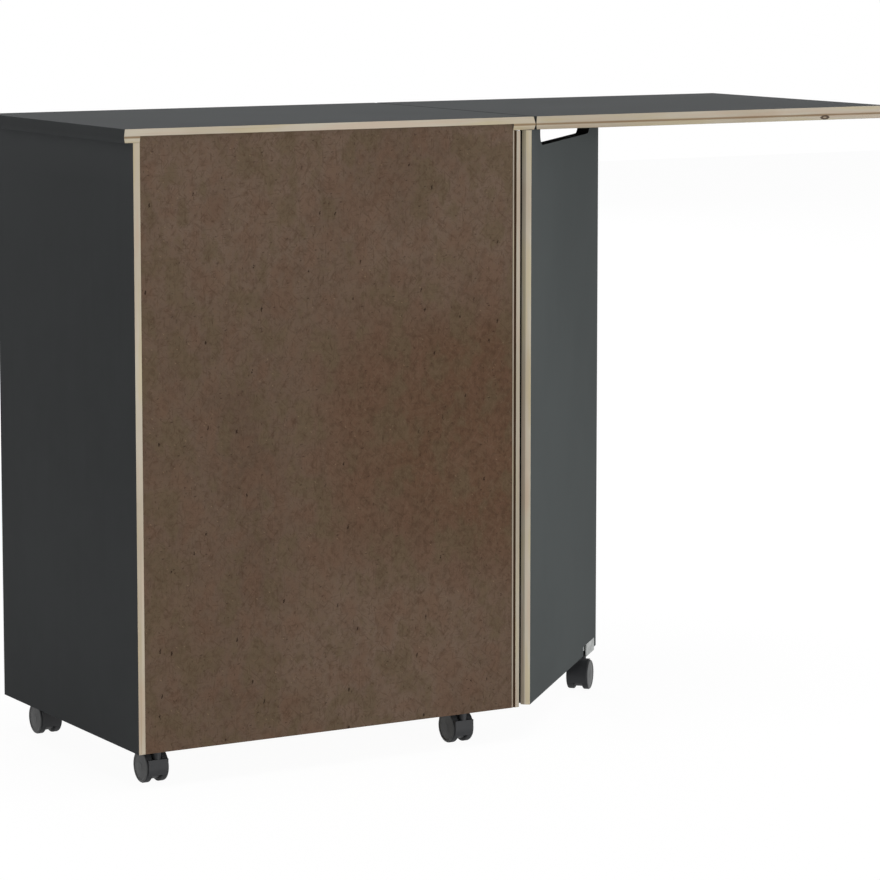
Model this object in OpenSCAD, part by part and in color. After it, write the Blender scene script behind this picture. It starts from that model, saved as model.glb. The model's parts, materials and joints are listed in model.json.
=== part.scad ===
// Cabinet desk on casters. The front faces -Y, and left and right are as seen from the front.
// The leaf of the worktop folds out over -X, on a panel that swings out from the cabinet's left side.
// The origin is on the floor, under the middle of the opened worktop. Lengths are in millimetres.

/* [Worktop] */
// Height of the worktop's upper face above the floor
total_h = 770; // [740:1:800]
// Length of the folding leaf, over its noses
leaf_len = 536; // [500:1:536]
// Depth of the fixed top and the leaf, over their noses
top_depth = 400; // [398:1:410]
// Thickness of every board
board_t = 16; // [16:0.5:18]
// Drop from a board's face to the nose of its pointed edge
nose_drop = 9.5; // [8:0.5:10]
// How far the nose stands out from the upper arris
nose_over = 2; // [1:0.1:3]
// How far the nose stands out from the lower arris
nose_under = 1.6; // [1:0.1:2.5]
// Gap between the leaf and the fixed top
leaf_gap = 0.4; // [0.4:0.1:1]

/* [Cabinet] */
// Width over the two sides
box_w = 511; // [500:1:530]
// Height of the sides' lower edges above the floor
floor_gap = 43; // [43:1:46]
// Overhang of the worktop past the right side
end_overhang = 12; // [10:0.5:14]
// Overhang of the worktop past the sides' front edges
front_overhang = 8.5; // [7:0.5:12]
// Overhang of the fixed top past the closed swing panel
panel_cover = 2.4; // [1:0.1:6]
// Thickness of the hardboard back
back_t = 3.2; // [2.5:0.1:4]
// Width of the hardboard back
back_w = 498.6; // [494:0.2:500]
// Width of the right side's rear edge that the back leaves bare
back_land = 8.6; // [7:0.1:9]
// Height of the worktop's rear edge that the back leaves bare
top_band = 8.5; // [7.5:0.1:9]
// Thickness of the batten that packs the swing panel's hinges out
batten_t = 7; // [7:0.5:8]
// Width of the batten
batten_w = 40; // [34:1:60]

/* [Swing panel] */
// Angle at which the panel stands open
swing_rest = 45; // [0:1:90]
// Length of the panel between its end arrises
panel_len = 384; // [370:1:384]
// Height of the panel's lower edge above the floor
panel_z = 45; // [44.5:0.5:48]
// Distance of the hinge pins from the cabinet's rear
hinge_setback = 9; // [9:0.5:10]
// Depth of the grip notch in the upper edge
grip_depth = 21.5; // [16:0.5:23.5]
// Start and end of the grip notch along the upper edge
grip_span = [47, 331];
// Radius of the lower corners of the grip notches
grip_round = 15; // [8:1:15]

/* [Drawers] */
// Heights of the upper drawer fronts, from the top down. The last front fills what is left
upper_fronts = [110, 150, 150];
// Gap above and below each front
front_gap = 3; // [2:0.5:4]
// Length of the drawer sides
drawer_len = 350; // [300:1:355]
// Length of the notch in each front's upper edge
front_grip = 150; // [110:1:200]

/* [Casters] */
// Height of a caster, from the floor to its plate's upper face
caster_h = 50; // [50:0.5:52]
// Radius of a wheel
wheel_r = 19.4; // [18.5:0.1:19.5]
// Width over a caster's two wheels
caster_w = 30; // [28:0.5:31]
// Distance from the swivel stem to the axle, seen from above
trail = 16; // [14:0.5:17]
// Distance from the left side's outer face to the left stems
caster_in_left = 60; // [40:1:90]
// Distance from the right side's outer face to the right stems
caster_in_right = 34.5; // [34.5:0.5:80]
// Distance from the sides' front edges to the front stems
caster_in_front = 64.5; // [40:0.5:80]
// Distance from the cabinet's rear to the rear stems
caster_in_rear = 23.5; // [23:0.5:60]

/* [Hidden] */
FIT = 0.05;
CLEAR = 0.3;

/* Worktop places */
hinge_space = 2.6;
top_len = end_overhang + box_w + batten_t + hinge_space + board_t + panel_cover;
top_z = total_h - board_t;
right_nose = (top_len + leaf_len) / 2;
meet_x = right_nose - top_len;
rear_y = top_depth / 2 - nose_over;
side_depth = top_depth - nose_over - front_overhang;

/* Barrel hinges of the worktop */
barrel_r = 5;
barrel_len = 14;
barrel_drop = 8.5;
barrel_ys = [-140, 0, 140];
barrel_slot_w = 3;
barrel_slot_deep = 9;
barrel_pin_r = 1.5;

/* Cabinet places */
right_x = right_nose - end_overhang;
left_x = right_x - box_w;
front_y = rear_y - side_depth;
side_h = top_z - floor_gap;
inner_l = left_x + board_t;
inner_r = right_x - board_t;
inner_w = inner_r - inner_l;
base_z = caster_h;
base_top = base_z + board_t;
back_l = right_x - back_land - back_w;
back_top = total_h - top_band;
batten_gap = 0.8;
arris = 1.5;
sharp_arris = 0.2;

/* Hinges of the swing panel */
pin_r = 1;
knuckle_r = 1.9;
plate_t = 0.9;
hinge_len = 60;
hinge_leaf_w = 16;
hinge_inset = 85;
hinge_zs = [panel_z + hinge_inset, (panel_z + top_z) / 2, top_z - hinge_inset];
recess_r = knuckle_r + 0.4;
hinge_screw_in = 11;
hinge_screw_zs = [-20, 0, 20];
hinge_x = left_x - batten_t - hinge_space / 2;
hinge_y = rear_y - hinge_setback;
hinge_screw_r = 1.1;
hinge_screw_head = 2;
hinge_screw_len = 5;

/* Swing panel, along its length from the rear arris and outward from its inner face */
panel_gap = 0.4;
panel_h = top_z - panel_gap - panel_z;
panel_rebate_t = 4.4;
panel_rebate_s = 6;
pin_back = 0.2;
pin_out = hinge_space / 2;
panel_nose_in = pin_out + pin_back - 0.1;
stem_from_end = 52;
swing_stem = [panel_len - stem_from_end, 9.5];
foot_before_stem = 26;
foot_after_stem = 42.4;
foot_span = [swing_stem[0] - foot_before_stem, swing_stem[0] + foot_after_stem];
foot_h = 12.4;
bracket_t = 1.5;
bracket_gap = 1;
bracket_before_stem = 6;
bracket_start = swing_stem[0] - bracket_before_stem;
bracket_screw_in = 10.4;
bracket_screw_step = 16;
bracket_screws_s = [
    foot_span[1] - bracket_screw_in - bracket_screw_step, foot_span[1] - bracket_screw_in
];

/* Drawers */
last_front = top_z - base_top - sum_of(upper_fronts) - (len(upper_fronts) + 2) * front_gap;
front_heights = concat(upper_fronts, [last_front]);
side_t = 12;
bottom_t = 4;
runner_t = 8.5;
runner_h = 12;
runner_len = 330;
runner_front = 5;
runner_stop = 0.4;
slide_gap = 3;
front_side_gap = 2.5;
groove_deep = 6;
box_under = 6;
box_over = 30;

/* Casters */
stem_r = 3;
axle_r = 2.5;
axle_half = 13;
web_half = 5.5;
wheel_in = web_half + 0.4;
guard_gap = 0.4;
guard_t = 1;
web_inset = 3.6;
guard_low = 25;
guard_in_from_rim = 2.3;
guard_end = 105;
wall_drop = 8.6;
shoulder_rise = 10.6;
boss_rise = 0.2;
boss_top = 2 * wheel_r + guard_gap + guard_t + boss_rise;
neck_r = 4.6;
neck_drop = 0.5;
stem_grip = 14;
plate_half = 18;
mount_plate_t = 2;
neck_top = caster_h - mount_plate_t - neck_drop;
screw_at = 13;
screw_r = 2;
screw_head_r = 3.6;
screw_head_t = 1.6;
screw_len = 12;
bracket_z = boss_top + CLEAR;
caster_places = [
    ["front_left", left_x + caster_in_left, front_y + caster_in_front],
    ["front_right", right_x - caster_in_right, front_y + caster_in_front],
    ["rear_left", left_x + caster_in_left, rear_y - caster_in_rear],
    ["rear_right", right_x - caster_in_right, rear_y - caster_in_rear]
];

function nosed_profile(w) = [
    [-w / 2 + nose_under, 0], [w / 2 - nose_under, 0], [w / 2, board_t - nose_drop],
    [w / 2 - nose_over, board_t], [-w / 2 + nose_over, board_t], [-w / 2, board_t - nose_drop]
];

function sum_of(v, from = 0) = from < len(v) ? v[from] + sum_of(v, from + 1) : 0;

// Height of a drawer front's lower edge, counted from the top drawer
function front_z(i) =
    top_z - (i + 1) * front_gap - sum_of([for (k = [0:i]) front_heights[k]]);
function runner_z(i) = front_z(i) + box_under + (front_heights[i] - box_over - runner_h) / 2;

// A board with pointed edges all round, centred, with its lower face at height 0
module nosed_board(len, depth) {
    intersection() {
        rotate([90, 0, 0])
            linear_extrude(depth, center = true) polygon(nosed_profile(len));
        rotate([90, 0, 90])
            linear_extrude(len, center = true) polygon(nosed_profile(depth));
    }
}

// Barrels of the concealed hinges, in the board on one side of the joint: dir 1 or -1
module barrel_set(dir, r, extra) {
    for (y = barrel_ys)
        translate([meet_x + dir * (leaf_gap / 2 + nose_over - extra), y, total_h - barrel_drop])
            rotate([0, dir * 90, 0]) cylinder(h = barrel_len + extra, r = r, $fn = 48);
}

// Moves to each barrel's mouth, in the board's upright end
module at_barrels(dir) {
    for (y = barrel_ys)
        translate([meet_x + dir * (leaf_gap / 2 + nose_over), y, total_h - barrel_drop]) children();
}

module hinge_barrels(dir) {
    difference() {
        barrel_set(dir, barrel_r, 0);
        at_barrels(dir)
            translate([dir * (barrel_slot_deep / 2 - 1), 0, 0])
                cube([barrel_slot_deep + 2, barrel_slot_w, 2 * barrel_r + 1], center = true);
    }
    at_barrels(dir)
        translate([dir * barrel_slot_deep / 2, 0, 0])
            rotate([90, 0, 0])
                cylinder(h = barrel_slot_w, r = barrel_pin_r, center = true, $fn = 32);
}

module worktop() {
    color([0.30, 0.31, 0.31])
    difference() {
        translate([meet_x + (top_len + leaf_gap / 2) / 2, 0, top_z])
            nosed_board(top_len - leaf_gap / 2, top_depth);
        translate([back_l, rear_y - back_t, top_z - 1])
            cube([back_w, back_t + nose_over + 1, back_top - top_z + 1]);
        barrel_set(1, barrel_r, nose_over);
    }
}

module leaf() {
    color([0.30, 0.31, 0.31])
    difference() {
        translate([meet_x - (leaf_len + leaf_gap / 2) / 2, 0, top_z])
            nosed_board(leaf_len - leaf_gap / 2, top_depth);
        barrel_set(-1, barrel_r, nose_over);
    }
}

module top_barrels() {
    color([0.72, 0.60, 0.32]) hinge_barrels(1);
}

module leaf_barrels() {
    color([0.72, 0.60, 0.32]) hinge_barrels(-1);
}

// Plan of a side, with a rebate for the back and small arrises, from inner face x 0 to outer face
module side_plan(rebate, rear_arris) {
    difference() {
        polygon([
            [0, arris], [arris, 0], [board_t - arris, 0], [board_t, arris],
            [board_t, side_depth - rear_arris], [board_t - rear_arris, side_depth],
            [0, side_depth]
        ]);
        translate([-1, side_depth - back_t]) square([rebate + 1, back_t + 1]);
    }
}

module side_left() {
    color([0.25, 0.26, 0.26])
    translate([inner_l, front_y, floor_gap])
        mirror([1, 0, 0])
            linear_extrude(side_h) side_plan(inner_l - back_l, arris);
}

module side_right() {
    color([0.20, 0.21, 0.21])
    translate([inner_r, front_y, floor_gap])
        linear_extrude(side_h) side_plan(board_t - back_land, sharp_arris);
}

module base_board() {
    color([0.68, 0.58, 0.44])
    difference() {
        translate([inner_l, front_y, base_z])
            cube([inner_w, side_depth - back_t, board_t]);
        for (p = caster_places, i = [-1, 1], j = [-1, 1])
            translate([p[1] + i * screw_at, p[2] + j * screw_at, base_z - 1])
                cylinder(h = screw_len + 1, r = screw_r, $fn = 24);
    }
}

module back_panel() {
    color([0.38, 0.31, 0.26])
    translate([back_l, rear_y - back_t, floor_gap])
        cube([back_w, back_t, back_top - floor_gap]);
}

module hinge_batten() {
    batten_h = top_z - batten_gap - floor_gap;
    color([0.70, 0.62, 0.50])
    difference() {
        translate([left_x - batten_t, rear_y - batten_w, floor_gap])
            linear_extrude(batten_h)
                polygon([
                    [0, 0], [batten_t, 0], [batten_t, batten_w - arris],
                    [batten_t - arris, batten_w], [sharp_arris, batten_w],
                    [0, batten_w - sharp_arris]
                ]);
        for (z = hinge_zs)
            translate([hinge_x, hinge_y, z - hinge_len / 2 - 1])
                cylinder(h = hinge_len + 2, r = recess_r, $fn = 32);
        hinge_screw_row(1, hinge_screw_r, 0);
    }
}

// Hinge screws: side 1 goes into the batten, side -1 into the panel, from the plates' mid plane
module hinge_screw_row(side, r, from) {
    for (z = hinge_zs, dz = hinge_screw_zs)
        translate([hinge_x + side * from, hinge_y - hinge_screw_in, z + dz])
            rotate([0, side * 90, 0])
                cylinder(h = hinge_space / 2 + hinge_screw_len - from, r = r, $fn = 24);
}

module hinge_screw_set(side) {
    face = hinge_space / 2 - plate_t;
    hinge_screw_row(side, hinge_screw_r, face);
    for (z = hinge_zs, dz = hinge_screw_zs)
        translate([hinge_x + side * face, hinge_y - hinge_screw_in, z + dz])
            rotate([0, side * 90, 0])
                cylinder(h = plate_t, r = hinge_screw_head, $fn = 32);
}

// One butt hinge's leaf with its knuckles. Knuckle 0 and 2 are the batten's, knuckle 1 the panel's
module hinge_leaf(side, own, bore) {
    third = hinge_len / 3;
    face = hinge_space / 2 - plate_t;
    for (z = hinge_zs)
        translate([hinge_x, hinge_y, z - hinge_len / 2])
            difference() {
                union() {
                    translate([side == 1 ? face : -face - plate_t, -hinge_leaf_w, 0])
                        cube([plate_t, hinge_leaf_w - recess_r, hinge_len]);
                    for (k = own)
                        translate([0, 0, k * third + CLEAR / 2]) {
                            cylinder(h = third - CLEAR, r = knuckle_r, $fn = 32);
                            translate([side == 1 ? face : -face - plate_t, -recess_r - 1, 0])
                                cube([plate_t, recess_r + 1, third - CLEAR]);
                        }
                }
                translate([0, 0, -1]) cylinder(h = hinge_len + 2, r = bore, $fn = 32);
                for (dz = hinge_screw_zs)
                    translate([0, -hinge_screw_in, hinge_len / 2 + dz])
                        rotate([0, 90, 0])
                            cylinder(
                                h = 2 * hinge_space, r = hinge_screw_head, center = true, $fn = 32
                            );
            }
}

module hinge_leaves_fixed() {
    color([0.35, 0.35, 0.36]) hinge_leaf(1, [0, 2], pin_r);
}

module hinge_pins() {
    color([0.60, 0.60, 0.60])
    for (z = hinge_zs)
        translate([hinge_x, hinge_y, z - hinge_len / 2])
            cylinder(h = hinge_len, r = pin_r, $fn = 32);
}

module hinge_screws_fixed() {
    color([0.60, 0.60, 0.60]) hinge_screw_set(1);
}

// Stands a piece, drawn with the panel closed, at the panel's open angle
module swung() {
    translate([hinge_x, hinge_y, 0])
        rotate([0, 0, -swing_rest])
            translate([-hinge_x, -hinge_y, 0]) children();
}

// Moves to a point of the closed panel: s along it from the rear arris, t out from its inner face
module on_panel(s, t, z) {
    translate([hinge_x - pin_out - t, hinge_y - pin_back - s, z]) children();
}

// Notch in a board's upper edge, with rounded lower corners: X along the board, Y up, Z through it
module grip_cut(from, to, top) {
    thick = board_t + 2;
    bottom = top - grip_depth;
    translate([from, bottom + grip_round, -thick / 2])
        cube([to - from, grip_depth - grip_round + 1, thick]);
    translate([from + grip_round, bottom, -thick / 2])
        cube([to - from - 2 * grip_round, grip_round + 1, thick]);
    for (x = [from + grip_round, to - grip_round])
        translate([x, bottom + grip_round, 0])
            cylinder(h = thick, r = grip_round, center = true, $fn = 64);
}

module swing_panel() {
    color([0.31, 0.33, 0.33])
    swung() difference() {
        on_panel(0, 0, panel_z)
            linear_extrude(panel_h)
                mirror([1, 0]) mirror([0, 1])
                    polygon([
                        [0, 0], [nose_drop, -panel_nose_in],
                        [board_t, nose_under - panel_nose_in], [board_t, panel_len],
                        [nose_drop, panel_len + panel_nose_in], [0, panel_len]
                    ]);
        on_panel(panel_rebate_s, panel_rebate_t, panel_z - 1)
            cube([panel_rebate_t + 1, panel_rebate_s + panel_nose_in + 1, panel_h + 2]);
        on_panel(0, board_t / 2, 0)
            rotate([90, 0, -90]) grip_cut(grip_span[0], grip_span[1], panel_z + panel_h);
        on_panel(foot_span[1], board_t + 1, panel_z - 1)
            cube([board_t + 2, foot_span[1] - foot_span[0], foot_h + 1]);
        hinge_screw_row(-1, hinge_screw_r, 0);
        for (s = bracket_screws_s)
            on_panel(s, board_t / 2, panel_z)
                cylinder(h = foot_h + screw_len, r = screw_r, $fn = 24);
    }
}

module hinge_leaves_moving() {
    color([0.35, 0.35, 0.36]) swung() hinge_leaf(-1, [1], pin_r + FIT);
}

module hinge_screws_moving() {
    color([0.60, 0.60, 0.60]) swung() hinge_screw_set(-1);
}

// Bent steel bracket in the notch of the panel's lower edge
module caster_bracket() {
    from = foot_span[1] - bracket_gap;
    len = from - bracket_start;
    roof = panel_z + foot_h;
    color([0.65, 0.66, 0.65])
    swung() difference() {
        union() {
            on_panel(from, board_t, bracket_z)
                cube([bracket_t, len, roof - bracket_z]);
            on_panel(from, board_t, roof - bracket_t)
                cube([board_t, len, bracket_t]);
        }
        for (s = bracket_screws_s)
            on_panel(s, board_t / 2, 0) cylinder(h = roof, r = screw_r, $fn = 24);
    }
}

module bracket_screws() {
    roof = panel_z + foot_h;
    color([0.60, 0.60, 0.60])
    swung() for (s = bracket_screws_s) {
        on_panel(s, board_t / 2, roof - bracket_t)
            cylinder(h = screw_len + bracket_t, r = screw_r, $fn = 24);
        on_panel(s, board_t / 2, roof - bracket_t - screw_head_t)
            cylinder(h = screw_head_t, r = screw_head_r, $fn = 32);
    }
}

module drawer_runners() {
    color([0.72, 0.58, 0.40])
    for (i = [0:len(front_heights) - 1], x = [inner_l, inner_r - runner_t])
        translate([x, front_y + board_t + runner_front, runner_z(i)])
            cube([runner_t, runner_len, runner_h]);
}

module drawer_front(i) {
    w = inner_w - 2 * front_side_gap;
    color([0.30, 0.31, 0.31])
    translate([inner_l + front_side_gap, front_y, front_z(i)])
        difference() {
            cube([w, board_t, front_heights[i]]);
            translate([w / 2, board_t / 2, front_heights[i]])
                rotate([90, 0, 0]) grip_cut(-front_grip / 2, front_grip / 2, 0);
        }
}

// The two sides and the back of a drawer, grooved for the bottom and the runners
module drawer_box(i) {
    w = inner_w - 2 * slide_gap;
    h = front_heights[i] - box_over;
    z = front_z(i) + box_under;
    y = front_y + board_t;
    color([0.80, 0.70, 0.52])
    difference() {
        translate([inner_l + slide_gap, y, z]) difference() {
            cube([w, drawer_len, h]);
            translate([side_t, -1, -1]) cube([w - 2 * side_t, drawer_len - side_t + 1, h + 2]);
        }
        translate([inner_l + slide_gap + side_t - bottom_t, y - 1, z + bottom_t])
            cube([w - 2 * side_t + 2 * bottom_t, drawer_len - side_t + bottom_t + 1, bottom_t]);
        for (x = [inner_l + slide_gap - 1, inner_r - slide_gap - groove_deep])
            translate([x, y + runner_front - runner_stop, runner_z(i) - CLEAR])
                cube([groove_deep + 1, drawer_len, runner_h + 2 * CLEAR]);
    }
}

module drawer_bottom(i) {
    w = inner_w - 2 * slide_gap - 2 * side_t + 2 * bottom_t;
    color([0.62, 0.52, 0.38])
    translate([
        inner_l + slide_gap + side_t - bottom_t, front_y + board_t,
        front_z(i) + box_under + bottom_t
    ])
        cube([w, drawer_len - side_t + bottom_t, bottom_t]);
}

// Caster pieces are drawn about the stem, on the floor, trailing towards +Y with the axle along X
module caster_mount(post_r, post_top) {
    translate([0, 0, boss_top - stem_grip])
        cylinder(h = post_top - boss_top + stem_grip, r = post_r, $fn = 32);
}

module mount(p) {
    color([0.45, 0.45, 0.46])
    translate([p[1], p[2], 0])
        difference() {
            union() {
                caster_mount(stem_r, base_z - mount_plate_t);
                translate([-plate_half, -plate_half, base_z - mount_plate_t])
                    cube([2 * plate_half, 2 * plate_half, mount_plate_t]);
            }
            for (i = [-1, 1], j = [-1, 1])
                translate([i * screw_at, j * screw_at, base_z - mount_plate_t - 1])
                    cylinder(h = mount_plate_t + 2, r = screw_r + FIT, $fn = 24);
        }
}

module caster_screws() {
    color([0.60, 0.60, 0.60])
    for (p = caster_places, i = [-1, 1], j = [-1, 1])
        translate([p[1] + i * screw_at, p[2] + j * screw_at, base_z - mount_plate_t]) {
            cylinder(h = mount_plate_t + screw_len, r = screw_r, $fn = 24);
            translate([0, 0, -screw_head_t]) cylinder(h = screw_head_t, r = screw_head_r, $fn = 32);
        }
}

// Part of a disc about the axle, from guard_end at the top down to an angle low below the axle
module guard_sector(r, low) {
    intersection() {
        circle(r = r, $fn = 96);
        polygon([
            [0, 0], [2 * r * cos(low), -2 * r * sin(low)], [2 * r, 2 * r],
            [2 * r * cos(guard_end), 2 * r * sin(guard_end)]
        ]);
    }
}

// The hood covers the trailing side from the top down, and has a low wall on the stem's side
module hood() {
    guard_in = wheel_r + guard_gap;
    guard_out = guard_in + guard_t;
    web_r = wheel_r - web_inset;
    guard_w = caster_w - 2 * guard_in_from_rim;
    color([0.14, 0.14, 0.15])
    difference() {
        union() {
            translate([0, trail, wheel_r]) rotate([90, 0, 90]) {
                linear_extrude(2 * web_half, center = true) {
                    circle(r = web_r, $fn = 96);
                    guard_sector(guard_out, 0);
                    translate([-guard_out, 0]) square([guard_out, shoulder_rise]);
                }
                linear_extrude(guard_w, center = true)
                    difference() {
                        union() {
                            guard_sector(guard_out, guard_low);
                            translate([-guard_out, 0]) square([guard_out / 2, shoulder_rise]);
                            intersection() {
                                circle(r = guard_out, $fn = 96);
                                translate([-guard_out, -wall_drop])
                                    square([guard_out / 2, wall_drop + 1]);
                            }
                        }
                        circle(r = guard_in, $fn = 96);
                    }
            }
            translate([0, 0, wheel_r]) cylinder(h = neck_top - wheel_r, r = neck_r, $fn = 48);
        }
        translate([0, 0, boss_top - stem_grip]) cylinder(h = caster_h, r = stem_r + FIT, $fn = 32);
        translate([0, trail, wheel_r])
            rotate([0, 90, 0]) cylinder(h = caster_w, r = axle_r, center = true, $fn = 32);
    }
}

module axle() {
    color([0.60, 0.60, 0.60])
    translate([0, trail, wheel_r])
        rotate([0, 90, 0]) cylinder(h = 2 * axle_half, r = axle_r, center = true, $fn = 32);
}

// Wheel on one side of the hood: dir 1 or -1. Its outer face is a shallow dish with a raised rim
module wheel(dir) {
    out = caster_w / 2;
    color([0.20, 0.20, 0.21])
    translate([0, trail, wheel_r])
        rotate([0, dir * 90, 0])
            rotate_extrude($fn = 96)
                polygon([
                    [axle_r + FIT, wheel_in], [wheel_r - 1, wheel_in], [wheel_r, wheel_in + 1],
                    [wheel_r, out - 2.2], [wheel_r - 0.7, out - 0.9], [wheel_r - 2.2, out - 0.3],
                    [wheel_r - 3.4, out - 0.3], [wheel_r - 4.2, out - 1], [6, out - 0.4],
                    [5, out], [0, out], [0, axle_half + 0.2], [axle_r + FIT, axle_half + 0.2]
                ]);
}

// Stands a caster's pieces under the cabinet, trailing towards the front
module under_cabinet(p) {
    translate([p[1], p[2], 0]) rotate([0, 0, 180]) children();
}

// Stands the swing caster's pieces under the panel, trailing towards its hinge
module under_panel() {
    swung() on_panel(swing_stem[0], swing_stem[1], 0) children();
}

module swing_stem_post() {
    color([0.45, 0.45, 0.46])
    under_panel() {
        caster_mount(stem_r, panel_z + foot_h - bracket_t);
        translate([0, 0, neck_top + CLEAR])
            cylinder(h = panel_z + foot_h - bracket_t - neck_top - CLEAR, r = neck_r, $fn = 48);
    }
}

worktop();
side_left();
side_right();
base_board();
back_panel();
hinge_batten();
drawer_runners();
top_barrels();
hinge_leaves_fixed();
hinge_pins();
hinge_screws_fixed();
caster_screws();
leaf();
leaf_barrels();
swing_panel();
hinge_leaves_moving();
hinge_screws_moving();
caster_bracket();
bracket_screws();
swing_stem_post();
for (i = [0:len(front_heights) - 1]) {
    drawer_front(i);
    drawer_box(i);
    drawer_bottom(i);
}
for (p = caster_places) {
    mount(p);
    under_cabinet(p) hood();
    under_cabinet(p) axle();
    under_cabinet(p) wheel(1);
    under_cabinet(p) wheel(-1);
}
under_panel() hood();  // swing_hood
under_panel() axle();  // swing_axle
under_panel() wheel(1);  // swing_wheel_a
under_panel() wheel(-1);  // swing_wheel_b
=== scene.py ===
"""Cabinet desk on casters with a fold-out leaf: finishes, softened edges and stage.

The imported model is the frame. Each operator dresses one group of its pieces, in metres.
"""

import json
import math

import bmesh
import bpy
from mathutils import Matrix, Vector

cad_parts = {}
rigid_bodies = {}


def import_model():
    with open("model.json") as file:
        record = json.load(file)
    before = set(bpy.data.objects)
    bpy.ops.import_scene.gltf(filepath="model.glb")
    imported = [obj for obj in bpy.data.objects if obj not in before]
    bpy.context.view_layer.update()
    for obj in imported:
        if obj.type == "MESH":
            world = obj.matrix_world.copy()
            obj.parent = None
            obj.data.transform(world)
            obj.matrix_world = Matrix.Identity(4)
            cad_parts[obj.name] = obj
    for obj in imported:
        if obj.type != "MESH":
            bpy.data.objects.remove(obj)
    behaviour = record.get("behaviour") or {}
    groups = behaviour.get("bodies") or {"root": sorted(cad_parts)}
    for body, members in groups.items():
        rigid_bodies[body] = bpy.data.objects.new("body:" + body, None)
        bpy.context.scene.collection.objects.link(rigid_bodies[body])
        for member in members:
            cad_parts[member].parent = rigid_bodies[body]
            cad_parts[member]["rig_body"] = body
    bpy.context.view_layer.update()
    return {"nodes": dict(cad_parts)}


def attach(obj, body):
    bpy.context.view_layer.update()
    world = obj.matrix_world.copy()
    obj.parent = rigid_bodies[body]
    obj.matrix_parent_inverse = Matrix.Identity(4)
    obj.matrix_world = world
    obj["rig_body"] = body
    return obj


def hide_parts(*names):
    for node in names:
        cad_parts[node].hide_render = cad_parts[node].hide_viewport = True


bl_info = {
    "name": "Cabinet desk",
    "version": (1, 0, 0),
    "blender": (4, 5, 0),
    "location": "View3D > Sidebar > Cabinet desk",
    "description": "Dresses a cabinet desk on casters and sets its stage",
    "category": "Object",
}

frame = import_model()
NODES = frame["nodes"]
CASTERS = ("front_left", "front_right", "rear_left", "rear_right", "swing")
DRAWERS = ("drawer_1", "drawer_2", "drawer_3", "drawer_4")
REAR = Vector((0, 1, 0))

# The swing panel at rest: its angle, the ways to its rear edge and its outer face, and its hinge line
SWUNG = math.radians(45)
SWING_REAR = Vector((math.sin(SWUNG), math.cos(SWUNG), 0))
SWING_OUT = Vector((-math.sin(SWUNG), math.cos(SWUNG), 0))
SWING_PIN = Vector((0.0122, 0.189, 0))

# Its cuts, in metres along it and out from the hinge line. A notch is from and to, low and high
REBATE_ALONG, REBATE_OUT = 0.0065, 0.0062
RIDGE_OUT = 0.0106
GRIP_NOTCH = (0.045, 0.333, 0.7315, 0.7532)
FOOT_NOTCH = (0.304, 0.378, 0.0455, 0.0578)

# The hinge batten: its outer face, the side's face behind it, and its upper end
BATTEN_FACE, BATTEN_BACK, BATTEN_TOP = 0.0135, 0.0205, 0.7532
GROOVE_REACH = 0.0024

# A point on the nose of the worktop's rear edge, and the leaf's knot: place, half length, half height
NOSE = (0, 0.2, 0.7605)
KNOT = ((-0.4403, 0.1990, 0.7573), 0.0060, 0.0025)

# The hardboard's red stain and its faded patch, each with its centre and its reach along X, Y and Z
STAIN = ((0.09, 0.2, 0.37), (0.2, 1, 0.2))
FADED = ((0.19, 0.2, 0.13), (0.17, 1, 0.11))

# The sides' upper end, and how far down the painted light reaches that makes up for the shadow of the
# worktop's overhang, widely and sharply
SIDE_TOP, WIDE_SHADE, SHARP_SHADE = 0.754, 0.204, 0.049

# Lamps: name, place, width, height, and whether the object mirrors it
LAMPS = (
    ("key", (-3.7, 11.4, 1.35), 6, 2.5, True),
    ("top", (-0.6, 1.2, 9), 5, 5, False),
    ("fill", (-1.5, -7.5, 1.8), 4, 4, False),
)
LAMPS_AIM = Vector((0, 0, 0.4))
FLOOR_REACH = 9


def srgb(red, green, blue):
    """Linear colour of a colour written in steps of 255."""
    def linear(step):
        value = step / 255
        return value / 12.92 if value <= 0.04045 else ((value + 0.055) / 1.055) ** 2.4
    return (linear(red), linear(green), linear(blue))


# Shader maths


class Socket:
    """An output socket of a finish. Arithmetic on it adds Math nodes."""

    def __init__(self, finish, link):
        self.finish = finish
        self.link = link

    def math(self, operation, *values):
        """A Math node on this socket and the values."""
        return self.finish.node(
            "ShaderNodeMath", {"operation": operation}, dict(enumerate((self, *values)))
        )

    def __add__(self, other):
        return self.math("ADD", other)

    def __sub__(self, other):
        return self.math("SUBTRACT", other)

    def __rsub__(self, other):
        return self * -1 + other

    def __mul__(self, other):
        return self.math("MULTIPLY", other)

    __radd__ = __add__
    __rmul__ = __mul__


class Nodes:
    """A node tree, and the one way in which its nodes are added."""

    def __init__(self, tree):
        self.tree = tree
        self.tree.nodes.clear()

    def node(self, kind, settings=None, inputs=None, output=0):
        """Adds a node, sets its settings first and then its sockets, and gives one output."""
        made = self.tree.nodes.new(kind)
        for key, value in (settings or {}).items():
            setattr(made, key, value)
        for key, value in (inputs or {}).items():
            socket = made.inputs[key] if isinstance(key, int) else self.find(made.inputs, key)
            if isinstance(value, Socket):
                self.tree.links.new(value.link, socket)
            else:
                socket.default_value = value
        found = made.outputs[output] if isinstance(output, int) else self.find(made.outputs, output)
        return Socket(self, found)

    @staticmethod
    def find(sockets, key):
        """The socket with that identifier or name."""
        for socket in sockets:
            if key in (socket.identifier, socket.name):
                return socket
        raise KeyError(key)


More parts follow.
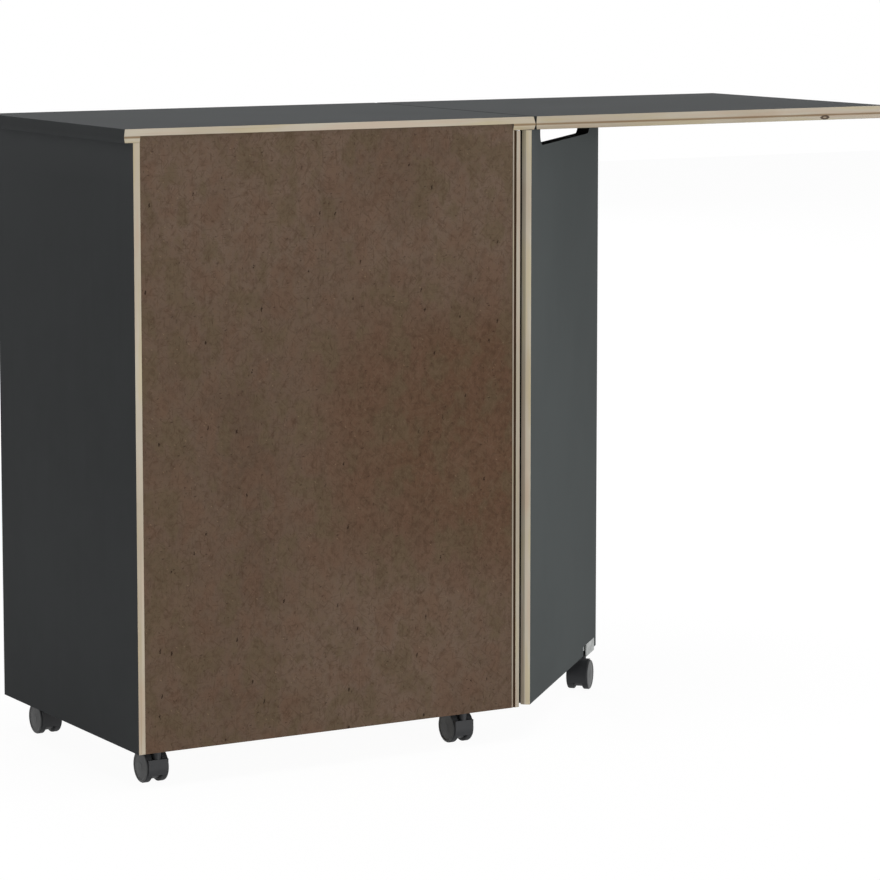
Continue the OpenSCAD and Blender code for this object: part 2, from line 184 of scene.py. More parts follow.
class Finish(Nodes):
    """A material made of nodes."""

    def __init__(self, name, colour):
        self.material = bpy.data.materials.new(name)
        self.material.use_nodes = True
        self.material.diffuse_color = (*colour, 1)
        super().__init__(self.material.node_tree)
        self.output = self.tree.nodes.new("ShaderNodeOutputMaterial")

    def place(self, turn=(0, 0, 0), size=(1, 1, 1), centre=(0, 0, 0)):
        """Object coordinates from centre, along turned axes, in steps of size metres."""
        point = self.node("ShaderNodeTexCoord", output="Object")
        return self.node("ShaderNodeMapping", {"vector_type": "TEXTURE"}, {
            "Vector": point, "Rotation": turn, "Scale": size, "Location": centre,
        })

    def away(self, centre, reach, turn=(0, 0, 0)):
        """Distance from centre, in steps of reach metres along turned axes."""
        return self.node("ShaderNodeVectorMath", {"operation": "LENGTH"}, {
            0: self.place(turn, reach, centre),
        }, "Value")

    def noise(self, place, scale, detail=3, rough=0.5, warp=0):
        """Drifting values about 0.5. A larger scale gives finer drifts."""
        return self.node("ShaderNodeTexNoise", {}, {
            "Vector": place, "Scale": scale, "Detail": detail,
            "Roughness": rough, "Distortion": warp,
        })

    def cells(self, place, scale, output):
        """Distance from the nearest of many scattered points, or the colour drawn for it."""
        return self.node("ShaderNodeTexVoronoi", {"feature": "F1"}, {
            "Vector": place, "Scale": scale, "Randomness": 1.0,
        }, output)

    def step(self, value, low, high, smooth=True):
        """0 below low, 1 above high."""
        kind = "SMOOTHSTEP" if smooth else "LINEAR"
        return self.node("ShaderNodeMapRange", {"interpolation_type": kind}, {
            "Value": value, "From Min": low, "From Max": high,
        })

    def mix(self, share, first, second, blend="MIX"):
        """Colour first at share 0, second at share 1."""
        first, second = (
            value if isinstance(value, Socket) else (*value, 1) for value in (first, second)
        )
        return self.node("ShaderNodeMix", {"data_type": "RGBA", "blend_type": blend}, {
            "Factor_Float": share, "A_Color": first, "B_Color": second,
        }, "Result_Color")

    def stain(self, tone, value, low, high, share, colour):
        """The tone, with up to that share of a colour as value goes from low to high."""
        return self.mix(self.step(value, low, high) * share, tone, colour)

    def split(self, vector):
        """The three parts of a vector or colour."""
        made = self.node("ShaderNodeSeparateXYZ", {}, {"Vector": vector})
        outputs = made.link.node.outputs
        return [Socket(self, socket) for socket in outputs]

    def surface(self, colour, rough, height=None, relief=0.0002, **uniform):
        """Ends the finish: colour, roughness, relief, and values that are the same all over."""
        inputs = {
            "Base Color": colour if isinstance(colour, Socket) else (*colour, 1),
            "Roughness": rough,
        }
        if height is not None:
            inputs["Normal"] = self.node("ShaderNodeBump", {}, {
                "Height": height, "Distance": relief, "Strength": 1.0,
            })
        inputs.update(uniform)
        shader = self.node("ShaderNodeBsdfPrincipled", {}, inputs)
        self.tree.links.new(shader.link, self.output.inputs["Surface"])
        return self.material


# Finishes. The grain of wood runs along X of the turned axes: along the desk, up, or front to rear


LEVEL = (0, 0, 0)
UPRIGHT = (0, math.radians(90), 0)
DEEP = (0, 0, math.radians(90))


def times(colour, share):
    """A colour, lighter or darker by a share."""
    return tuple(min(1, part * share) for part in colour)


def wood_tones(colour, late, brown):
    """Early wood of a colour, with late wood and darkest streaks as shares of it."""
    return (tuple(colour), times(colour, late), times(colour, brown))


def painted_wood(name, turn, looks, paint, light_under_top=False):
    """Matt paint on pine: fine roller stipple, faint grain below, slight drifts of tone.

    Its last argument paints light on it towards its upper end, to make up for the shadow of the
    worktop's overhang.
    """
    made = Finish(name, paint)
    place = made.place(turn)
    grain = made.noise(made.place(turn, (0.3, 0.014, 0.014)), 1, 5, 0.6, 0.3)
    stipple = made.noise(place, 900, 2, 0.6)
    drift = made.noise(place, 3.1, 3, 0.5)
    cloud = made.noise(place, 26, 4, 0.55)
    uneven = made.step(drift * 0.6 + cloud * 0.25 + grain * 0.15, 0.36, 0.64)
    tone = made.mix(uneven, times(paint, 0.93), times(paint, 1.07))
    # Painted light: lighter paint towards the upper end, against the shadow of the worktop's overhang
    if light_under_top:
        rise = made.split(made.place())[2]
        wide = made.step(rise, SIDE_TOP - WIDE_SHADE, SIDE_TOP)
        sharp = made.step(rise, SIDE_TOP - SHARP_SHADE, SIDE_TOP, False)
        tone = made.mix(wide * 0.45 + sharp * 0.55, tone, times(paint, 1.34))
    rough = made.step(cloud * 0.6 + grain * 0.4, 0.2, 0.8, False) * 0.1 + looks.paint_rough
    height = grain * 0.5 + stipple * 0.35
    return made.surface(tone, rough, height, 0.00016, **{"Specular IOR Level": looks.paint_sheen})


def bare_wood(name, turn, colours, looks, knots=(), nose=None, sheen=0.3):
    """Sanded pine: early and late wood in long streaks, pores, tinted bands, and any knots.

    nose is a point on the tip of a level pointed edge, whose line is browner.
    """
    pale, amber, brown = colours
    made = Finish(name, pale)
    place = made.place(turn)
    waves = made.noise(made.place(turn, (0.9, 0.012, 0.012)), 1, 3, 0.5, 0.4)
    streak = made.noise(made.place(turn, (0.3, 0.0025, 0.0025)), 1, 4, 0.6, 0.2)
    pores = made.noise(made.place(turn, (0.016, 0.0005, 0.0005)), 1, 2, 0.5)
    drift = made.noise(place, 7, 3, 0.5)
    late = made.step(waves, 0.52, 0.66) * (0.35 + 0.65 * made.step(streak, 0.35, 0.65))
    tone = made.mix(late * 0.85, pale, amber)
    tone = made.stain(tone, streak, 0.58, 0.8, 0.35, brown)
    tone = made.stain(tone, drift, 0.42, 0.66, 0.4, amber)
    band = made.noise(made.place(turn, (0.14, 0.011, 0.011)), 1, 2, 0.5)
    tone = made.mix(made.step(band, 0.5, 0.64) * 0.55, tone, looks.rosy, "MULTIPLY")
    tone = made.mix(made.step(band, 0.5, 0.36) * 0.7, tone, looks.golden, "MULTIPLY")
    height = streak * 0.6 + pores * 0.4
    if nose:
        millimetres_up = (1, 1, 0.001)
        beside = made.split(made.place(LEVEL, millimetres_up, nose))[2].math("ABSOLUTE")
        wander = made.noise(made.place(turn, (0.09, 0.02, 0.02)), 1, 3, 0.6)
        line = made.step(beside + wander * 1.4, 2.6, 1.2)
        tone = made.mix(line * 0.9, tone, brown)
    for centre, along, across in knots:
        away = made.away(centre, (along, across, across), turn)
        ragged = away + made.noise(place, 700, 2, 0.6) * 0.5 - 0.25
        ring = made.step(ragged, 1.3, 1.05) * made.step(ragged, 0.3, 0.6)
        heart = made.step(ragged, 0.9, 0.4)
        tone = made.mix(heart * 0.6, tone, brown)
        tone = made.mix(ring * 0.93, tone, looks.knot)
    return made.surface(tone, 0.62, height, 0.00012, **{"Specular IOR Level": sheen})


def hardboard(name, looks):
    """Pressed fibre board: broad stains, felted fibres in all directions, specks and flecks."""
    made = Finish(name, looks.hardboard)
    place = made.place()
    broad = made.noise(place, 5.5, 5, 0.6)
    red = made.step(made.away(*STAIN) + broad * 1.4, 2.1, 1.0)
    faded = made.step(made.away(*FADED) + broad * 1.4, 2.1, 1.2)
    high = made.step(made.split(place)[2] + broad * 0.25, 0.6, 0.82)
    tone = made.mix(red * 0.85, looks.hardboard, looks.hardboard_red)
    tone = made.mix(faded.math("MAXIMUM", high), tone, looks.hardboard_faded)

    # Soft patches, from broad to fine
    drift = made.noise(place, 9, 3, 0.55)
    tone = made.stain(tone, drift, 0.5, 0.72, 0.3, looks.hardboard_dark)
    tone = made.stain(tone, drift, 0.48, 0.28, 0.4, looks.hardboard_pale)
    blush = made.noise(made.place(UPRIGHT, (1, 0.7, 0.7), (5, 2, 1)), 27, 2, 0.55)
    tone = made.stain(tone, blush, 0.5, 0.68, 0.4, looks.hardboard_rust)
    tone = made.stain(tone, blush, 0.52, 0.36, 0.6, looks.hardboard_olive)
    clouds = made.noise(place, 30, 3, 0.6)
    tone = made.stain(tone, clouds, 0.3, 0.7, 0.16, looks.hardboard_dark)
    mottle = made.noise(place, 120, 5, 0.62)
    tone = made.stain(tone, mottle, 0.54, 0.34, 0.36 + red * 0.2, looks.hardboard_dark)
    tone = made.stain(tone, mottle, 0.5, 0.72, 0.34, looks.hardboard_pale)

    # Felted fibres: the angle that they lie at, and a place for each set to be drawn from
    fibre_size = (0.012, 0.0023, 0.0023)
    height = mottle
    for angle, seed in ((4, 0.0), (52, 3.7), (92, 7.9), (140, 12.3)):
        lie = made.place((0, math.radians(angle), 0), fibre_size, (seed, seed, seed))
        fibre = made.noise(lie, 1, 2, 0.5, 0.4)
        tone = made.stain(tone, fibre, 0.58, 0.72, 0.4, looks.hardboard_pale)
        tone = made.stain(tone, fibre, 0.42, 0.28, 0.4, looks.hardboard_dark)
        height = height + fibre * 0.5

    # Specks and flecks: their angle, how close they stand, size, how many there are, colour, strength
    ragged = made.noise(place, 620, 2, 0.6) * 0.3 - 0.15
    for angle, scale, size, share, colour, strength in (
        (80, 70, 0.14, 0.24, looks.speck, 0.85),
        (12, 150, 0.2, 0.22, looks.speck, 0.5),
        (95, 200, 0.22, 0.3, looks.speck, 0.4),
        (140, 200, 0.2, 0.1, looks.hardboard_fleck, 0.45),
    ):
        slant = made.place((0, math.radians(angle), 0), (1.7, 1, 0.75))
        near = made.cells(slant, scale, "Distance") + ragged
        pick = made.split(made.cells(slant, scale, "Color"))[0]
        spot = made.step(near, size, size * 0.45) * made.step(pick, share, share * 0.7)
        tone = made.mix(spot * strength, tone, colour)
    return made.surface(tone, 0.75, height, 0.00015, **{"Specular IOR Level": 0.12})


def plated_steel(name, colour, looks, spangle=360):
    """Zinc or galvanised steel: broad crystals, fine grit, light tarnish."""
    made = Finish(name, colour)
    place = made.place()
    cell = made.split(made.cells(place, spangle, "Color"))[0]
    grit = made.noise(place, 1400, 2, 0.5)
    tarnish = made.noise(place, 60, 3, 0.6)
    dull = cell * 0.6 + made.step(tarnish, 0.45, 0.8) * 0.4
    tone = made.mix(dull, colour, times(colour, 0.78))
    rough = 0.3 + cell * 0.15 + tarnish * 0.15
    return made.surface(tone, rough, grit + cell, 0.00005, Metallic=looks.metal)


def brass_metal(name, looks):
    """Satin brass with turning marks and light tarnish."""
    made = Finish(name, looks.brass)
    turned = made.noise(made.place(LEVEL, (0.0006, 0.016, 0.016)), 1, 2, 0.5)
    tarnish = made.noise(made.place(), 180, 3, 0.6)
    dull = made.step(tarnish, 0.4, 0.75) * 0.5
    tone = made.mix(dull, looks.brass, times(looks.brass, 0.6))
    return made.surface(tone, 0.3 + turned * 0.2, turned, 0.00003, Metallic=0.95)


def black_steel(name, looks):
    """Thinly coated black hinge steel."""
    made = Finish(name, looks.black_steel)
    grit = made.noise(made.place(), 1500, 2, 0.5)
    worn = made.noise(made.place(), 220, 4, 0.65)
    tone = made.mix(made.step(worn, 0.55, 0.8) * 0.5, looks.black_steel, (0.09, 0.09, 0.09))
    return made.surface(tone, 0.42 + grit * 0.12, grit, 0.00004, Metallic=0.5)


def moulded_plastic(name, colour, rough):
    """Moulded plastic with a spark-eroded grain, dust and light scuffs."""
    made = Finish(name, colour)
    place = made.place()
    erosion = made.noise(place, 2600, 2, 0.6)
    dust = made.noise(place, 130, 4, 0.6)
    pale = tuple(min(1, c * 1.5 + 0.004) for c in colour)
    tone = made.mix(made.step(dust, 0.5, 0.85) * 0.35, colour, pale)
    return made.surface(tone, rough + dust * 0.12, erosion, 0.00004, **{"Specular IOR Level": 0.35})


# Pieces


def softened(node, width, segments=2, sharp=math.radians(28)):
    """A copy of a CAD node as a piece of its own, with its arrises eased."""
    bm = bmesh.new()
    bm.from_mesh(NODES[node].data)
    bmesh.ops.remove_doubles(bm, verts=bm.verts, dist=2e-6)
    bmesh.ops.dissolve_limit(
        bm, angle_limit=math.radians(0.3), verts=bm.verts, edges=bm.edges,
        use_dissolve_boundaries=False,
    )
    arrises = [
        edge for edge in bm.edges
        if len(edge.link_faces) == 2 and edge.calc_face_angle(0) > sharp
    ]
    bmesh.ops.bevel(
        bm, geom=arrises, offset=width, offset_type="OFFSET", segments=segments, profile=0.5,
        affect="EDGES", clamp_overlap=True, material=-1, loop_slide=True,
    )
    return bm


def finished(bm, name, node, slot, *materials, rule=None):
    """Makes the piece from bm: shading, materials by face, and its place on the body."""
    mesh = bpy.data.meshes.new(name)
    for material in materials:
        mesh.materials.append(material)
    for face in bm.faces:
        face.smooth = True
        face.material_index = rule(face) if rule else 0
    bm.to_mesh(mesh)
    bm.free()
    mesh.set_sharp_from_angle(angle=math.radians(32))
    piece = bpy.data.objects.new(name, mesh)
    bpy.context.scene.collection.objects.link(piece)
    even = piece.modifiers.new("even_shading", "WEIGHTED_NORMAL")
    even.keep_sharp = True
    even.weight = 100
    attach(piece, NODES[node]["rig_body"])
    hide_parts(node)
    return piece


def facing(direction, share):
    """Rule for faces: 1 where a face looks along direction by more than share."""
    return lambda face: 1 if face.normal.dot(direction) > share else 0


def dress(node, *materials):
    """Gives a CAD node its material."""
    slots = NODES[node].data.materials
    slots.clear()
    for material in materials:
        slots.append(material)


def colour_of(name, note, value):
    """A colour that a user may change."""
    return bpy.props.FloatVectorProperty(
        name=name, description=note, default=value, subtype="COLOR", size=3, min=0, max=1
    )


class CabinetDeskLooks(bpy.types.PropertyGroup):
    """Colours and gloss of the desk's finishes."""

    paint: colour_of("Paint", "Dark grey matt paint of the boards", srgb(80, 82, 83))
    panel_paint: colour_of("Panel paint", "Paint of the swing panel", srgb(81, 85, 85))
    # Near-black for the swing panel's rebate and notches: painted shade where they lie in shadow
    paint_in_cuts: colour_of("Paint in cuts", "Paint in the rebate and the notches", srgb(24, 23, 22))
    paint_rough: bpy.props.FloatProperty(
        name="Paint roughness", description="Roughness of the matt paint", default=0.7, min=0, max=1
    )
    paint_sheen: bpy.props.FloatProperty(
        name="Paint sheen", description="Specular level of the matt paint", default=0.05, min=0, max=1
    )
    pine: colour_of("Pine", "Early wood of the bare pine edges", srgb(197, 187, 169))
    pine_late: colour_of("Pine, late wood", "Late wood of the bare pine edges", srgb(173, 157, 132))
    pine_brown: colour_of("Pine, darkest", "Darkest streaks of the bare pine", srgb(134, 109, 78))
    rosy: colour_of("Rosy bands", "Tint of the pine's rosy bands", (1.0, 0.87, 0.83))
    golden: colour_of("Golden bands", "Tint of the pine's golden bands", (1.0, 0.97, 0.8))
    # Dark brown of the groove beside the hinge batten; on the batten's top under the worktop it is
    # painted shade
    groove_and_batten_shade: colour_of("Groove", "Stained groove beside the hinge batten", srgb(80, 63, 48))
    knot: colour_of("Knot", "Ring of a knot", srgb(62, 42, 28))
    hardboard: colour_of("Hardboard", "Main tone of the hardboard back", srgb(105, 87, 73))
    hardboard_red: colour_of("Hardboard, red", "Redder drifts of the hardboard", srgb(97, 70, 51))
    hardboard_faded: colour_of("Hardboard, faded", "Lighter drifts of the hardboard", srgb(113, 95, 81))
    hardboard_rust: colour_of("Hardboard, rust", "Rusty patches of the hardboard", srgb(108, 80, 64))
    hardboard_olive: colour_of("Hardboard, olive", "Greener patches of the hardboard", srgb(97, 84, 63))
    hardboard_dark: colour_of("Hardboard, dark", "Dark fibres of the hardboard", srgb(76, 57, 42))
    hardboard_pale: colour_of("Hardboard, pale", "Pale fibres of the hardboard", srgb(108, 88, 70))
    hardboard_fleck: colour_of("Hardboard fleck", "Palest flecks of the hardboard", srgb(140, 119, 94))
    speck: colour_of("Hardboard speck", "Dark specks of bark in the hardboard", srgb(38, 25, 17))
    beech: colour_of("Beech", "Waxed beech of the drawer runners", srgb(206, 170, 128))
    drawer_pine: colour_of("Drawer pine", "Sanded pine of the drawer boxes", srgb(222, 196, 154))
    plywood: colour_of("Plywood", "Face of the drawer bottoms", srgb(196, 168, 126))
    brass: colour_of("Brass", "Satin brass of the barrel hinges", srgb(186, 152, 88))
    black_steel: colour_of("Black steel", "Black coating of the butt hinges", srgb(40, 40, 41))
    galvanised: colour_of("Galvanised steel", "Bracket of the swing caster", srgb(169, 172, 170))
    zinc: colour_of("Zinc", "Zinc plating of screws and pins", srgb(184, 186, 186))
    plastic: colour_of("Plastic", "Black plastic of the caster hoods", srgb(42, 43, 45))
    tread: colour_of("Tread", "Tread of the wheels", srgb(36, 37, 39))
    disc: colour_of("Wheel disc", "Outer faces of the wheels", srgb(86, 87, 87))
    metal: bpy.props.FloatProperty(
        name="Metal", description="Metallic share of the plated steel", default=0.85, min=0, max=1
    )


class CabinetDeskSizes(bpy.types.PropertyGroup):
    """Radii that the edges are eased to."""

    board_edge: bpy.props.FloatProperty(
        name="Board edge", description="Width of the eased arrises of boards",
        default=0.0005, unit="LENGTH", min=0.0001, max=0.002,
    )
    sheet_edge: bpy.props.FloatProperty(
        name="Sheet edge", description="Width of the eased arrises of thin sheets and steel",
        default=0.0002, unit="LENGTH", min=0.00005, max=0.001,
    )
    plastic_edge: bpy.props.FloatProperty(
        name="Plastic edge", description="Width of the eased edges of moulded plastic",
        default=0.0005, unit="LENGTH", min=0.0001, max=0.001,
    )


class CabinetDeskStage(bpy.types.PropertyGroup):
    """Camera, lamps and floor."""

    eye: bpy.props.FloatVectorProperty(
        name="Camera place", description="Where the camera stands", subtype="TRANSLATION",
        default=(2.3111, 3.9291, 1.0015), unit="LENGTH",
    )
    bearing: bpy.props.FloatProperty(
        name="Camera bearing", description="Bearing of the camera round the desk",
        default=math.radians(149.65), unit="ROTATION",
    )
    height: bpy.props.FloatProperty(
        name="Camera height angle", description="How far the camera looks down",
        default=math.radians(6.742), unit="ROTATION",
    )
    lens: bpy.props.FloatProperty(
        name="Lens", description="Focal length on a 36 mm sensor, in millimetres", default=148.09
    )
    rise: bpy.props.FloatProperty(
        name="Lens rise", description="Vertical shift of the lens, as a share of the frame",
        default=-0.1,
    )
    ambient: bpy.props.FloatProperty(
        name="Ambient light", description="Strength of the light from all round", default=0.22, min=0
    )
    key: bpy.props.FloatProperty(
        name="Key lamp", description="Power of the soft lamp behind the desk", default=650.0,
        min=0, unit="POWER",
    )
    top: bpy.props.FloatProperty(
        name="Top lamp", description="Power of the soft lamp above the desk", default=268.0,
        min=0, unit="POWER",
    )
    fill: bpy.props.FloatProperty(
        name="Fill lamp", description="Power of the soft lamp before the drawers", default=165.0,
        min=0, unit="POWER",
    )
    floor_shadow: bpy.props.FloatProperty(
        name="Floor shadow", description="Share of real shading that the floor shows the camera",
        default=0.1, min=0, max=1,
    )


def looks():
    return bpy.context.scene.cabinet_desk_looks


def sizes():
    return bpy.context.scene.cabinet_desk_sizes


def pine_colours(lighter):
    """The three tones of the bare pine, times lighter."""
    tones = (looks().pine, looks().pine_late, looks().pine_brown)
    return tuple(tuple(part * lighter for part in tone) for tone in tones)


class CABINETDESK_OT_worktop(bpy.types.Operator):
    """Fixed worktop and folding leaf: painted, with bare pine on their rear edges"""

    bl_idname = "cabinet_desk.worktop"
    bl_label = "Worktop and leaf"

    def execute(self, context):
        paint = painted_wood("paint_along_worktop", LEVEL, looks(), tuple(looks().paint))
        for node, lighter, knots in (("worktop", 1.05, ()), ("leaf", 0.97, (KNOT,))):
            pine = bare_wood(
                f"pine_along_{node}", LEVEL, pine_colours(lighter), looks(), knots, NOSE,
            )
            bm = softened(node, sizes().board_edge)
            finished(
                bm, f"{node}_board", node, "painted_pine", paint, pine, rule=facing(REAR, 0.5),
            )
        return {"FINISHED"}


class CABINETDESK_OT_carcase(bpy.types.Operator):
    """Sides, base board, hinge batten and runners of the cabinet"""

    bl_idname = "cabinet_desk.carcase"
    bl_label = "Carcase"

    def execute(self, context):
        paint = painted_wood("paint_upright", UPRIGHT, looks(), tuple(looks().paint))
        # The right side's paint carries painted light towards its upper end, against the shadow of the
        # worktop's overhang
        side_paint_lit_under_top = painted_wood(
            "paint_right_side", UPRIGHT, looks(), tuple(looks().paint), light_under_top=True,
        )
        # Dark brown pine for the groove beside the batten, also painted shade on the batten's top
        shade = wood_tones(looks().groove_and_batten_shade, 0.85, 0.7)
        groove_and_batten_shade = bare_wood("pine_in_groove", UPRIGHT, shade, looks(), sheen=0.03)
        for node, lighter in (("side_left", 0.75), ("side_right", 1.12), ("hinge_batten", 0.92)):
            pine = bare_wood(f"pine_of_{node}", UPRIGHT, pine_colours(lighter), looks())
            bm = softened(node, sizes().board_edge)
            finished(
                bm, node + "_board", node, "painted_pine",
                side_paint_lit_under_top if node == "side_right" else paint, pine, groove_and_batten_shade, rule=self.part,
            )
        level = bare_wood("pine_level", LEVEL, pine_colours(1.0), looks())
        bm = softened("base_board", sizes().board_edge)
        finished(
            bm, "base_board_panel", "base_board", "bare_pine", level, paint,
            rule=facing(-REAR, 0.9),
        )
        beech = bare_wood("beech", DEEP, wood_tones(looks().beech, 0.82, 0.6), looks())
        bm = softened("drawer_runners", sizes().board_edge)
        finished(bm, "drawer_runner_rails", "drawer_runners", "hardwood", beech)
        return {"FINISHED"}

    @staticmethod
    def part(face):
        """0 painted, 1 the bare rear edges, 2 the dark brown groove beside the batten, and the batten's
        top, where the same dark brown is painted shade under the worktop.
        """
        centre = face.calc_center_median()
        if 0.3 < face.normal.y < 0.985 and abs(centre.x - BATTEN_BACK) < GROOVE_REACH:
            return 2
        # The batten's top, under the worktop, takes the groove's dark brown as painted shade
        over_batten = BATTEN_FACE - 0.0001 < centre.x < BATTEN_BACK + 0.0001
        if face.normal.z > 0.3 and centre.z > BATTEN_TOP - 0.0012 and over_batten:
            return 2
        return facing(REAR, 0.9)(face)


class CABINETDESK_OT_back(bpy.types.Operator):
    """Hardboard back of the cabinet"""

    bl_idname = "cabinet_desk.back"
    bl_label = "Hardboard back"

    def execute(self, context):
        bm = softened("back_panel", sizes().sheet_edge)
        finished(bm, "back_sheet", "back_panel", "hardboard", hardboard("hardboard_fibres", looks()))
        return {"FINISHED"}


class CABINETDESK_OT_swing_panel(bpy.types.Operator):
    """Swing panel that carries the leaf, with its grip notch"""

    bl_idname = "cabinet_desk.swing_panel"
    bl_label = "Swing panel"

    def execute(self, context):
        paint = painted_wood("paint_swing_panel", UPRIGHT, looks(), tuple(looks().panel_paint))
        # Painted shade: near-black in the rebate and the notches
        cut_shade = painted_wood("paint_in_cuts", UPRIGHT, looks(), tuple(looks().paint_in_cuts))
        pine = bare_wood("pine_swing_panel", UPRIGHT, pine_colours(1.36), looks())
        # Darker pine for the inner facet of the rear edge: painted shade beside the slot at the batten
        shaded_inner_pine = bare_wood("pine_swing_panel_inner", UPRIGHT, pine_colours(0.84), looks())
        bm = softened("swing_panel", sizes().board_edge)
        finished(
            bm, "swing_panel_board", "swing_panel", "painted_pine", paint, pine, cut_shade, shaded_inner_pine,
            rule=self.part,
        )
        return {"FINISHED"}

    @staticmethod
    def part(face):
        """0 painted, 1 the bare rear edge's outer facet, 3 its inner facet in darker pine as painted
        shade, 2 near-black painted shade in the rebate and notches.
        """
        centre = face.calc_center_median() - SWING_PIN
        along, out = -centre.dot(SWING_REAR), centre.dot(SWING_OUT)
        # The rebate and the notches take the near-black painted shade
        if along < REBATE_ALONG and out < REBATE_OUT:
            return 2
        if abs(face.normal.dot(SWING_OUT)) < 0.3:
            for start, end, low, high in (GRIP_NOTCH, FOOT_NOTCH):
                if start < along < end and low < centre.z < high:
                    return 2
        # The inner facet takes the darker pine as painted shade
        if face.normal.dot(SWING_REAR) > 0.6:
            return 3 if out < RIDGE_OUT else 1
        return 0


class CABINETDESK_OT_drawers(bpy.types.Operator):
    """Four drawers: painted fronts, pine boxes, plywood bottoms"""

    bl_idname = "cabinet_desk.drawers"
    bl_label = "Drawers"

    def execute(self, context):
        look = looks()
        paint = painted_wood("paint_drawer_fronts", LEVEL, look, tuple(look.paint))
        pine = bare_wood("drawer_pine", DEEP, wood_tones(look.drawer_pine, 0.84, 0.62), look)
        plywood = bare_wood("drawer_plywood", LEVEL, wood_tones(look.plywood, 0.86, 0.66), look)
        for drawer in DRAWERS:
            for part, slot, material in (
                ("front", "painted_pine", paint), ("box", "drawer_wood", pine),
                ("bottom", "plywood", plywood),
            ):
                node = f"{drawer}_{part}"
                bm = softened(node, sizes().board_edge)
                finished(bm, f"{drawer}_{part}_wood", node, slot, material)
        return {"FINISHED"}


class CABINETDESK_OT_fittings(bpy.types.Operator):
    """Barrel hinges, butt hinges, screws, pins, mounts and the bracket"""

    bl_idname = "cabinet_desk.fittings"
    bl_label = "Metal fittings"

    def execute(self, context):
        look = looks()
        brass = brass_metal("brass_satin", look)
        steel = black_steel("steel_black", look)
        zinc = plated_steel("zinc_plated", tuple(look.zinc), look)
        galvanised = plated_steel("galvanised", tuple(look.galvanised), look, 160)
        for node in ("top_barrels", "leaf_barrels"):
            dress(node, brass)
        for node in ("hinge_leaves_fixed", "hinge_leaves_moving"):
            dress(node, steel)
        for node in (
            "hinge_pins", "hinge_screws_fixed", "hinge_screws_moving", "caster_screws",
            "bracket_screws", "swing_stem_post", *(f"{c}_mount" for c in CASTERS[:4]),
            *(f"{c}_axle" for c in CASTERS),
        ):
            dress(node, zinc)
        bm = softened("caster_bracket", sizes().sheet_edge)
        finished(bm, "caster_bracket_plate", "caster_bracket", "galvanised_steel", galvanised)
        return {"FINISHED"}


class CABINETDESK_OT_casters(bpy.types.Operator):
    """Twin-wheel casters: hoods and wheels"""

    bl_idname = "cabinet_desk.casters"
    bl_label = "Casters"

    def execute(self, context):
        look = looks()
        hood = moulded_plastic("hood_plastic", tuple(look.plastic), 0.5)
        tread = moulded_plastic("tread_plastic", tuple(look.tread), 0.6)
        disc = moulded_plastic("disc_plastic", tuple(look.disc), 0.45)
        for caster in CASTERS:
            node = f"{caster}_hood"
            finished(
                softened(node, sizes().plastic_edge), f"{caster}_hood_shell", node,
                "black_plastic", hood,
            )
            turn = SWUNG if caster == "swing" else math.pi
            axle = Vector((math.cos(turn), -math.sin(turn), 0))
            for side, way in (("a", 1), ("b", -1)):
                node = f"{caster}_wheel_{side}"
                finished(
                    softened(node, sizes().plastic_edge * 0.6), f"{caster}_wheel_{side}_moulding",
                    node, "wheel_plastic", tread, disc, rule=facing(axle * way, 0.5),
                )
        return {"FINISHED"}


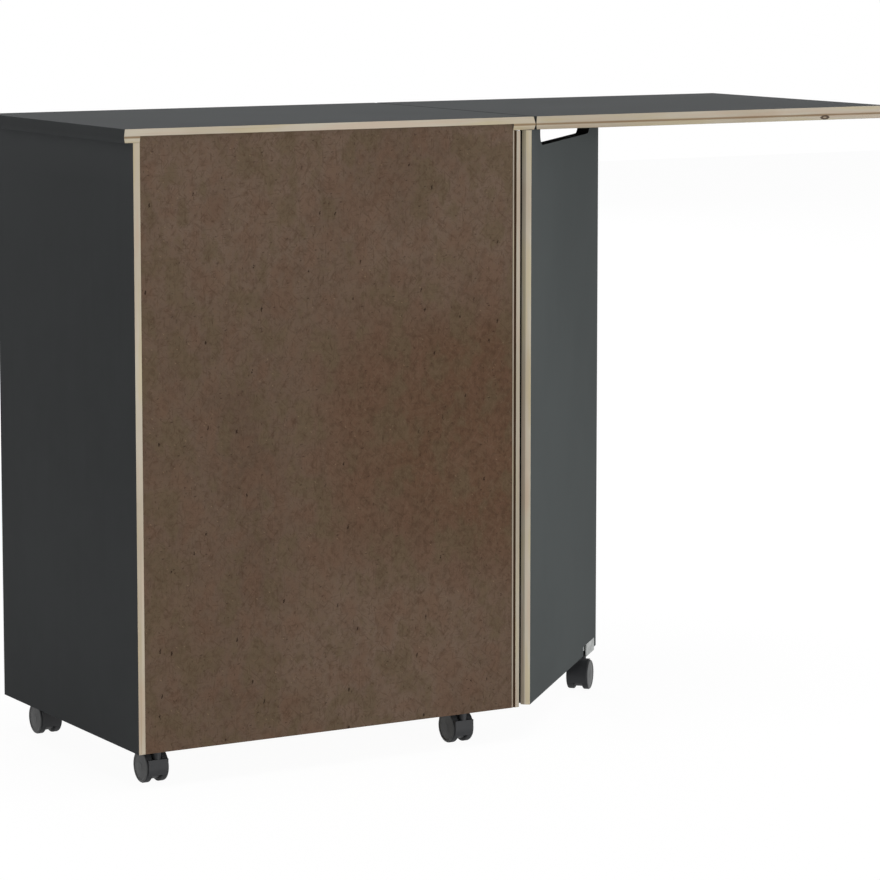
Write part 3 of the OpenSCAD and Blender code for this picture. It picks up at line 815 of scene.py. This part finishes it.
class CABINETDESK_OT_stage(bpy.types.Operator):
    """Camera, soft lamps, pale floor and white surroundings"""

    bl_idname = "cabinet_desk.stage"
    bl_label = "Stage"

    def execute(self, context):
        scene = context.scene
        stage = scene.cabinet_desk_stage
        self.camera(scene, stage)
        self.lamps(scene, stage)
        self.floor(scene, stage)
        self.surroundings(scene, stage)
        scene.view_settings.view_transform = "Standard"
        return {"FINISHED"}

    def camera(self, scene, stage):
        data = bpy.data.cameras.new("camera")
        data.sensor_width = 36
        data.lens = stage.lens
        data.shift_y = stage.rise
        camera = bpy.data.objects.new("camera", data)
        scene.collection.objects.link(camera)
        back = Vector((
            math.sin(stage.bearing) * math.cos(stage.height),
            -math.cos(stage.bearing) * math.cos(stage.height),
            math.sin(stage.height),
        ))
        camera.rotation_euler = (-back).to_track_quat("-Z", "Y").to_euler()
        camera.location = stage.eye
        scene.camera = camera

    def lamps(self, scene, stage):
        for name, place, wide, high, mirrored in LAMPS:
            data = bpy.data.lights.new(f"{name}_lamp", "AREA")
            data.shape = "RECTANGLE"
            data.size = wide
            data.size_y = high
            data.energy = getattr(stage, name)
            lamp = bpy.data.objects.new(f"{name}_lamp", data)
            scene.collection.objects.link(lamp)
            lamp.location = place
            lamp.visible_glossy = mirrored
            aim = LAMPS_AIM - lamp.location
            lamp.rotation_euler = aim.to_track_quat("-Z", "Y").to_euler()

    def seen(self, made):
        """1 for rays of the camera and of mirror-like surfaces, 0 for light on the object."""
        path = made.node("ShaderNodeLightPath", output="Is Camera Ray")
        outputs = path.link.node.outputs
        glossy = Socket(made, outputs["Is Glossy Ray"])
        through = Socket(made, outputs["Is Transmission Ray"])
        return path.math("MAXIMUM", glossy).math("MAXIMUM", through)

    def floor(self, scene, stage):
        bm = bmesh.new()
        bmesh.ops.create_grid(bm, x_segments=1, y_segments=1, size=FLOOR_REACH)
        mesh = bpy.data.meshes.new("floor")
        bm.to_mesh(mesh)
        bm.free()
        floor = bpy.data.objects.new("floor", mesh)
        scene.collection.objects.link(floor)
        made = Finish("floor_white", (0.9, 0.9, 0.9))
        real = made.node("ShaderNodeBsdfDiffuse", {}, {"Color": (0.82, 0.82, 0.82, 1)})
        white = made.node("ShaderNodeEmission", {}, {"Color": (1, 1, 1, 1), "Strength": 1.06})
        share = self.seen(made) * (1 - stage.floor_shadow)
        mixed = made.node("ShaderNodeMixShader", {}, {0: share, 1: real, 2: white})
        made.tree.links.new(mixed.link, made.output.inputs["Surface"])
        mesh.materials.append(made.material)

    def surroundings(self, scene, stage):
        world = bpy.data.worlds.new("surroundings")
        world.use_nodes = True
        scene.world = world
        made = Nodes(world.node_tree)
        output = made.tree.nodes.new("ShaderNodeOutputWorld")
        soft = made.node("ShaderNodeBackground", {}, {
            "Color": (1, 1, 1, 1), "Strength": stage.ambient,
        })
        white = made.node("ShaderNodeBackground", {}, {"Color": (1, 1, 1, 1), "Strength": 1.0})
        mixed = made.node("ShaderNodeMixShader", {}, {0: self.seen(made), 1: soft, 2: white})
        made.tree.links.new(mixed.link, output.inputs["Surface"])


OPERATORS = (
    CABINETDESK_OT_worktop, CABINETDESK_OT_carcase, CABINETDESK_OT_back,
    CABINETDESK_OT_swing_panel, CABINETDESK_OT_drawers, CABINETDESK_OT_fittings,
    CABINETDESK_OT_casters, CABINETDESK_OT_stage,
)


class CABINETDESK_PT_panel(bpy.types.Panel):
    """Lists the desk's groups and its looks"""

    bl_idname = "CABINETDESK_PT_panel"
    bl_label = "Cabinet desk"
    bl_space_type = "VIEW_3D"
    bl_region_type = "UI"
    bl_category = "Cabinet desk"

    def draw(self, context):
        for operator in OPERATORS:
            self.layout.operator(operator.bl_idname)
        for group in (
            context.scene.cabinet_desk_looks, context.scene.cabinet_desk_sizes,
            context.scene.cabinet_desk_stage,
        ):
            box = self.layout.box()
            for name in group.__annotations__:
                box.prop(group, name)


GROUPS = {
    "cabinet_desk_looks": CabinetDeskLooks,
    "cabinet_desk_sizes": CabinetDeskSizes,
    "cabinet_desk_stage": CabinetDeskStage,
}
CLASSES = (*GROUPS.values(), *OPERATORS, CABINETDESK_PT_panel)


def register():
    for made in CLASSES:
        bpy.utils.register_class(made)
    for name, group in GROUPS.items():
        setattr(bpy.types.Scene, name, bpy.props.PointerProperty(type=group))


def unregister():
    for name in GROUPS:
        delattr(bpy.types.Scene, name)
    for made in reversed(CLASSES):
        bpy.utils.unregister_class(made)


def main():
    register()
    for operator in OPERATORS:
        group, name = operator.bl_idname.split(".")
        getattr(getattr(bpy.ops, group), name)()


if __name__ == "__main__":
    main()
